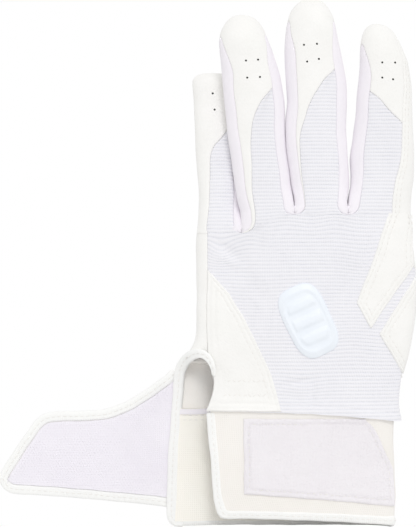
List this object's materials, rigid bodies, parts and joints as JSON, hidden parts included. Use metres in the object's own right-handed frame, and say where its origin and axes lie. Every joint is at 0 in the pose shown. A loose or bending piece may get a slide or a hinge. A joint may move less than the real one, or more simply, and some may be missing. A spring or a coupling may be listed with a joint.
{
  "type": "batting glove",
  "caption": "Left-hand batting glove with leather tips and palm, ribbed knit back, stretch gussets, and a wrist strap laid open beside its slit.",
  "frame": {"origin": "centre of the wrist opening, at the cuff's lower edge", "axes": "+Z to the fingertips, +X to the thumb side, +Y out of the palm, so the back of the hand faces -Y"},
  "size_m": [0.1793, 0.0322, 0.2212],
  "materials": {
    "leather": "soft white sheepskin, fine grain",
    "rib_knit": "stretch knit with fine crosswise ribs",
    "gusset_knit": "smooth stretch knit, matte",
    "cuff_fabric": "foam-backed matte cloth",
    "loop_pile": "brushed loop pile",
    "hook_tape": "moulded hook field",
    "edge_tape": "woven edge tape with one stitch line",
    "lining": "brushed lining cloth",
    "elastic": "braided elastic",
    "badge_rubber": "moulded soft rubber, satin"
  },
  "bodies": {
    "hand": {"back_panel": "rib_knit", "palm_panel": "leather", "pinky_side_patch": "leather", "thumb_patch_upper": "leather", "thumb_patch_lower": "leather", "badge": "badge_rubber", "wrist_elastic": "elastic", "cuff_back": "cuff_fabric", "cuff_back_binding": "edge_tape", "loop_patch": "loop_pile", "cuff_palm": "cuff_fabric", "cuff_palm_binding": "edge_tape", "cuff_lining": "lining", "slit_binding": "edge_tape"},
    "index_finger": {"index_cap": "leather", "index_back": "rib_knit", "index_palm": "leather", "index_gusset": "gusset_knit"},
    "middle_finger": {"middle_cap": "leather", "middle_back": "rib_knit", "middle_palm": "leather", "middle_gusset_left": "gusset_knit", "middle_gusset_right": "gusset_knit"},
    "ring_finger": {"ring_cap": "leather", "ring_back": "rib_knit", "ring_palm": "leather", "ring_gusset_left": "gusset_knit", "ring_gusset_right": "gusset_knit"},
    "pinky_finger": {"pinky_cap": "leather", "pinky_back": "rib_knit", "pinky_palm": "leather", "pinky_gusset": "gusset_knit"},
    "thumb": {"thumb_cap": "leather", "thumb_back": "rib_knit", "thumb_palm": "leather", "thumb_gusset": "gusset_knit"},
    "strap": {"strap_shell": "cuff_fabric", "hook_patch": "hook_tape", "strap_binding": "edge_tape"}
  },
  "joints": [
    {"name": "index_flex", "type": "hinge", "parent": "hand", "child": "index_finger", "pos_m": [0.0403, 0.0087, 0.1319], "axis": [-1, 0, 0], "range_deg": [0, 85]},
    {"name": "middle_flex", "type": "hinge", "parent": "hand", "child": "middle_finger", "pos_m": [0.0156, 0.0087, 0.1319], "axis": [-1, 0, 0], "range_deg": [0, 85]},
    {"name": "ring_flex", "type": "hinge", "parent": "hand", "child": "ring_finger", "pos_m": [-0.0069, 0.0087, 0.1319], "axis": [-1, 0, 0], "range_deg": [0, 85]},
    {"name": "pinky_flex", "type": "hinge", "parent": "hand", "child": "pinky_finger", "pos_m": [-0.0263, 0.0112, 0.1247], "axis": [-1, 0, 0], "range_deg": [0, 85]},
    {"name": "thumb_fold", "type": "hinge", "parent": "hand", "child": "thumb", "pos_m": [0.0509, 0.0082, 0.063], "axis": [-0.1471, 0, -0.9891], "range_deg": [0, 175]},
    {"name": "strap_wrap", "type": "hinge", "parent": "hand", "child": "strap", "pos_m": [-0.047, -0.0024, 0.062], "axis": [0.0508, 0, 0.9987], "range_deg": [0, 179.5]}
  ],
  "couplings": [
    {"joint": "pinky_flex", "follows": "ring_flex", "ratio": 1}
  ]
}
